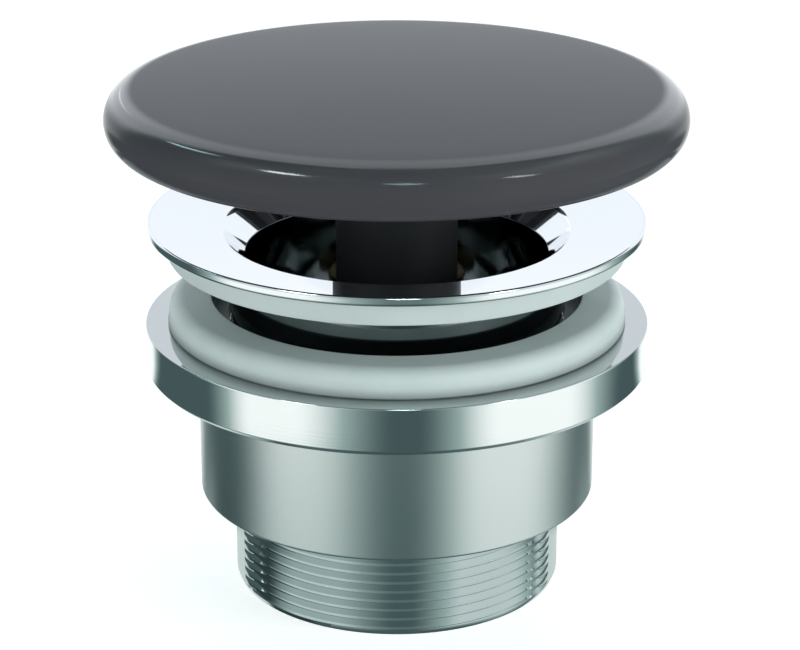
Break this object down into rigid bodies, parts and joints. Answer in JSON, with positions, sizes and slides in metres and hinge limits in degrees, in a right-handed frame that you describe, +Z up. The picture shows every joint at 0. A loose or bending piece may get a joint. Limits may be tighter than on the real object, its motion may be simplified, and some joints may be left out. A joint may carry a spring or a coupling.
{
  "type": "push-open basin waste",
  "caption": "Push-open basin waste: round glazed cap on a sprung stem, dished chrome flange with spider, two seals, and a threaded tailpiece that screws up to clamp the basin.",
  "frame": {"origin": "centre of the tail's end face, on which the waste stands", "axes": "+Z up along the waste's axis, from the tail to the cap"},
  "size_m": [0.072, 0.072, 0.0655],
  "materials": {
    "chrome": "bright chromium plate on brass",
    "dark_glaze": "glossy dark grey glaze",
    "pale_seal": "smooth pale grey elastomer",
    "dark_plastic": "dark satin moulding",
    "black_rubber": "black rubber",
    "brass": "turned brass",
    "steel": "bright stainless steel",
    "white_plastic": "natural white moulding",
    "fibre": "red fibre washer"
  },
  "bodies": {
    "root": {"flange_body": "chrome", "upper_seal": "pale_seal", "shank_o_ring": "black_rubber", "cartridge_barrel": "brass", "barrel_washer": "fibre", "barrel_nut": "brass", "barrel_plug": "brass", "guide_bush": "white_plastic", "rod_seal": "black_rubber", "cam_pin": "steel", "return_spring": "steel"},
    "plug": {"ceramic_cap": "dark_glaze", "plug_body": "dark_plastic", "plug_o_ring": "black_rubber", "cap_cushion": "black_rubber", "cap_insert": "brass", "push_rod": "steel", "drum_washer": "white_plastic", "spring_plate": "steel", "rod_clip": "steel"},
    "cam": {"cam_drum": "white_plastic"},
    "clamp_seal": {"lower_seal": "pale_seal"},
    "tail": {"tailpiece": "chrome"}
  },
  "joints": [
    {"name": "plug_press", "type": "slide", "parent": "root", "child": "plug", "axis": [0, 0, -1], "range_m": [0, 0.0095], "stiffness_N_per_m": 450, "springref_m": -0.012, "deforming": ["return_spring"]},
    {"name": "cam_turn", "type": "hinge", "parent": "plug", "child": "cam", "pos_m": [0, 0, 0.035], "axis": [0, 0, 1], "range_deg": [0, 45.2]},
    {"name": "clamp_travel", "type": "slide", "parent": "root", "child": "clamp_seal", "axis": [0, 0, 1], "range_m": [-0.01005, 0.00515]},
    {"name": "ring_turn", "type": "hinge", "parent": "clamp_seal", "child": "tail", "pos_m": [0, 0, 0.02], "axis": [0, 0, 1], "range_deg": [-1559.1, 795.1]}
  ],
  "couplings": [
    {"joint": "cam_turn", "follows": "plug_press", "rad_per_m": 82.674},
    {"joint": "clamp_travel", "follows": "ring_turn", "m_per_rad": 0.00036749}
  ]
}
